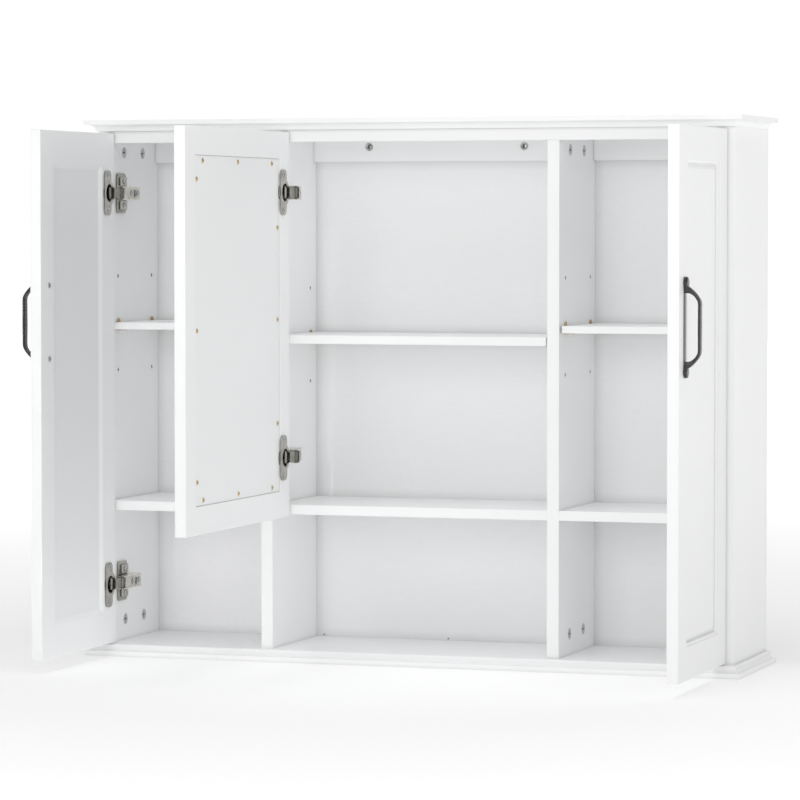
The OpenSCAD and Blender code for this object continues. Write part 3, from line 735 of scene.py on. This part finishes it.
def handle(node):
    """An arched handle cast in one skin with its two feet and the strip between them."""
    low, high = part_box(node)
    side = 1 if low.x > 0 else -1
    face = low.x if side > 0 else high.x
    middle = Vector((face, (low.y + high.y) / 2, (low.z + high.z) / 2))
    half = (high.z - low.z) / 2 / MM
    reach = (high.x - low.x) / MM
    grip = reach - 2.0
    side_path = [(1.0, 46.8, 12.0, 9.6), (4.6, 46.4, 10.6, 8.6), (9.2, 44.2, 9.2, 6.0),
                 (13.6, 40.6, 8.8, 4.7), (17.0, 36.4, 9.4, 4.2), (grip - 0.2, 30.8, 10.8, 3.9),
                 (grip, 20.0, 11.2, 3.7), (grip, 0.0, 11.6, 3.9)]
    path = smooth_path(side_path + [(a, -b, c, d) for a, b, c, d in side_path[-2::-1]], 6)
    bar = swept("bar", path)
    strip = swept("strip", [(0.6, -46.0, 11.0, 1.2), (0.6, 0.0, 11.0, 1.2), (0.6, 46.0, 11.0, 1.2)])
    whole = joined(node + "_cast", [bar, strip, paddle("foot", half, 1), paddle("foot", half, -1)])
    for v in whole.data.vertices:
        v.co = Vector((middle.x + side * v.co.x, middle.y + v.co.y, middle.z + v.co.z))
    outward(whole)
    remesh = whole.modifiers.new("one skin", "REMESH")
    remesh.mode = "VOXEL"
    remesh.voxel_size = 0.45 * MM
    relax = whole.modifiers.new("relax", "SMOOTH")
    relax.factor = 0.5
    relax.iterations = 4
    settle(whole)
    whole.data.materials.clear()
    whole.data.materials.append(looks["handle"])
    whole.data.polygons.foreach_set("use_smooth", [True] * len(whole.data.polygons))
    stand_for(whole, node)


for node in ("left_handle", "right_handle"):
    handle(node)


# ---- screws ----

def cross_recess(head, axis, size, depth):
    """Two crossed tapering bars, as a driver's tip."""
    tools = []
    turn = Vector((0, 0, 1)).rotation_difference(Vector(axis)).to_matrix()
    for long_x in (True, False):
        verts = []
        for z, k in ((0.2 * MM, 1.0), (-depth, 0.45)):
            for sx, sy in ((-1, -1), (1, -1), (1, 1), (-1, 1)):
                a, b = (size * k, size * 0.2) if long_x else (size * 0.2, size * k)
                verts.append(turn @ Vector((sx * a, sy * b, z)) + head)
        faces = [[0, 1, 2, 3], [4, 7, 6, 5]] + [[i, i + 4, (i + 1) % 4 + 4, (i + 1) % 4] for i in range(4)]
        # Painted shade: the tips carry the near-black recess look, which the cut passes on to the recess
        # faces.
        tools.append(outward(new_object("tip", verts, faces, "recess")))
    return tools


def screws(node, head_h, domed=True):
    """Every screw of a CAD node, with a turned head and a cross recess."""
    made = []
    for low, high in islands(node):
        size = high - low
        axis = Vector((1 if (low.x + high.x) < 0 else -1, 0, 0))
        r = min(size.y, size.z) / 2
        tip = high.x if axis.x > 0 else low.x
        place = Vector((tip, (low.y + high.y) / 2, (low.z + high.z) / 2))
        shank = r * 0.5
        length = size.x
        crown = [(0, 0), (r * 0.93, 0), (r, -0.25 * head_h), (r, -head_h)]
        if domed:
            crown = [(0, 0), (r * 0.45, -0.02 * r), (r * 0.72, -0.12 * head_h), (r * 0.9, -0.36 * head_h),
                     (r, -0.72 * head_h), (r, -head_h)]
        profile = [*crown, (shank, -head_h), (shank, -length * 0.97), (0, -length)]
        body = outward(lathe("screw", profile, place, axis, 28, slot_of[node]))
        tools = cross_recess(place, axis, r * 0.62, head_h * 0.75)
        made.append(cut(body, *tools))
    whole = joined(node + "_turned", made)
    stand_for(smooth(whole, 32), node)


screws("mounting_plate_screws", 1.6 * MM)
screws("arm_adjusting_screws", 1.2 * MM, domed=False)
for side in ("left", "right", "mirror"):
    screws(side + "_hinge_cup_screws", 1.0 * MM)
screws("mirror_backing_screws", 1.2 * MM)
for side in ("left", "right"):
    screws(side + "_handle_screws", 1.4 * MM)

# ---- hinges, supports, cam locks and pins ----

for node in ("left_hinge_cups", "right_hinge_cups", "mirror_hinge_cups"):
    low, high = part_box(node)
    flange_x = low.x if node.startswith("right") else high.x
    flange_depth = 2.5 * MM
    cups = softened(node, 0.3 * MM, 2)
    # Painted shade: the cups take the darker plate copy of the nickel.
    cups.data.materials[0] = looks["plate"]
    # Painted shade: the faces inside each cup, deeper than its flange, take the near-black recess look.
    second_look(cups, "recess", lambda middle, normal: abs(middle.x - flange_x) > flange_depth)
for node in ("outer_hinge_arms", "mirror_hinge_arms"):
    softened(node, 0.3 * MM, 2)
plates = softened("mounting_plates", 0.3 * MM, 2)
# Painted shade: the mounting plates take the darker plate copy of the nickel.
plates.data.materials[0] = looks["plate"]
for node in ("left_hinge_links", "right_hinge_links", "mirror_hinge_links"):
    links = softened(node, 0.5 * MM, 2)
    # Painted shade: the links take the darkest copy of the nickel.
    links.data.materials[0] = looks["link"]
softened("shelf_supports", 0.25 * MM, 2)
# Painted shade: the faces recessed into the cam locks take the near-black recess look.
second_look(softened("cam_locks", 0.25 * MM, 2), "recess", inside("cam_locks", 0.5, 1.0, 1.0))
for node in ("left_hinge_cup_pins", "right_hinge_cup_pins", "mirror_hinge_cup_pins", "hinge_arm_pins",
             "wall_screw_washers", "back_panel_pins", "cam_bolts"):
    softened(node, 0.15 * MM, 2)

# ---- floor, light and camera ----

def floor():
    """A plain pale floor just under the base, running off to the horizon."""
    level = cad_box[0][2] - 0.5 * MM
    across, steps = 30.0, 24
    lines = [across * (i / steps - 0.5) for i in range(steps + 1)]
    verts = [(x, y, level) for y in lines for x in lines]
    n = steps + 1
    corners = [j * n + i for j in range(steps) for i in range(steps)]
    faces = [[c, c + 1, c + n + 1, c + n] for c in corners]
    ob = new_object("floor", verts, faces)
    ob.data.materials.append(plain_floor("floor"))


floor()


def softbox(name, place, target, width, height, power, spread=180):
    """A rectangular studio light, with its beam's spread in degrees."""
    light = bpy.data.lights.new(name, "AREA")
    light.shape = "RECTANGLE"
    light.size, light.size_y = width, height
    light.energy = power
    light.spread = math.radians(spread)
    ob = bpy.data.objects.new(name, light)
    ob.location = place
    ob.rotation_euler = (Vector(target) - Vector(place)).to_track_quat("-Z", "Y").to_euler()
    bpy.context.scene.collection.objects.link(ob)


softbox("front", (0.0, -5.5, 1.7), (0, 0, 0.35), 2.6, 1.8, 58)
softbox("right", (4.5, -2.5, 1.6), (0, 0, 0.35), 2.5, 2.5, 46)
softbox("top", (0, -1.5, 4.0), (0, 0, 0.3), 3.0, 3.0, 55)
softbox("bay", (-0.5, -3.2, 0.6), (-0.32, 0, 0.36), 0.12, 0.7, 0.07, 8)

# A grey room that turns white towards the wall behind the cabinet
world = bpy.data.worlds.new("studio")
bpy.context.scene.world = world
world.use_nodes = True
around = world.node_tree.nodes.new("ShaderNodeTexCoord")
parts = world.node_tree.nodes.new("ShaderNodeSeparateXYZ")
fade = world.node_tree.nodes.new("ShaderNodeMapRange")
fade.inputs["From Min"].default_value, fade.inputs["From Max"].default_value = 0.78, 0.90
fade.inputs["To Min"].default_value, fade.inputs["To Max"].default_value = 0.29, 1.05
world.node_tree.links.new(around.outputs["Generated"], parts.inputs["Vector"])
world.node_tree.links.new(parts.outputs["Y"], fade.inputs["Value"])
world.node_tree.links.new(fade.outputs["Result"], world.node_tree.nodes["Background"].inputs["Color"])

scene = bpy.context.scene
scene.view_settings.view_transform = "Standard"
scene.view_settings.look = "None"
scene.view_settings.gamma = 1.3
scene.view_settings.exposure = 0.0
scene.cycles.diffuse_bounces = 10

# The photo's camera, fitted to the cabinet's corners
camera = bpy.data.cameras.new("camera")
camera.sensor_width = 36.0
camera.lens = 175.8
camera.clip_end = 60.0
eye = bpy.data.objects.new("camera", camera)
eye.location = (1.61939, -4.92189, 0.58141)
eye.rotation_euler = (math.radians(87.485), 0.0, math.radians(18.332))
scene.collection.objects.link(eye)
scene.camera = eye
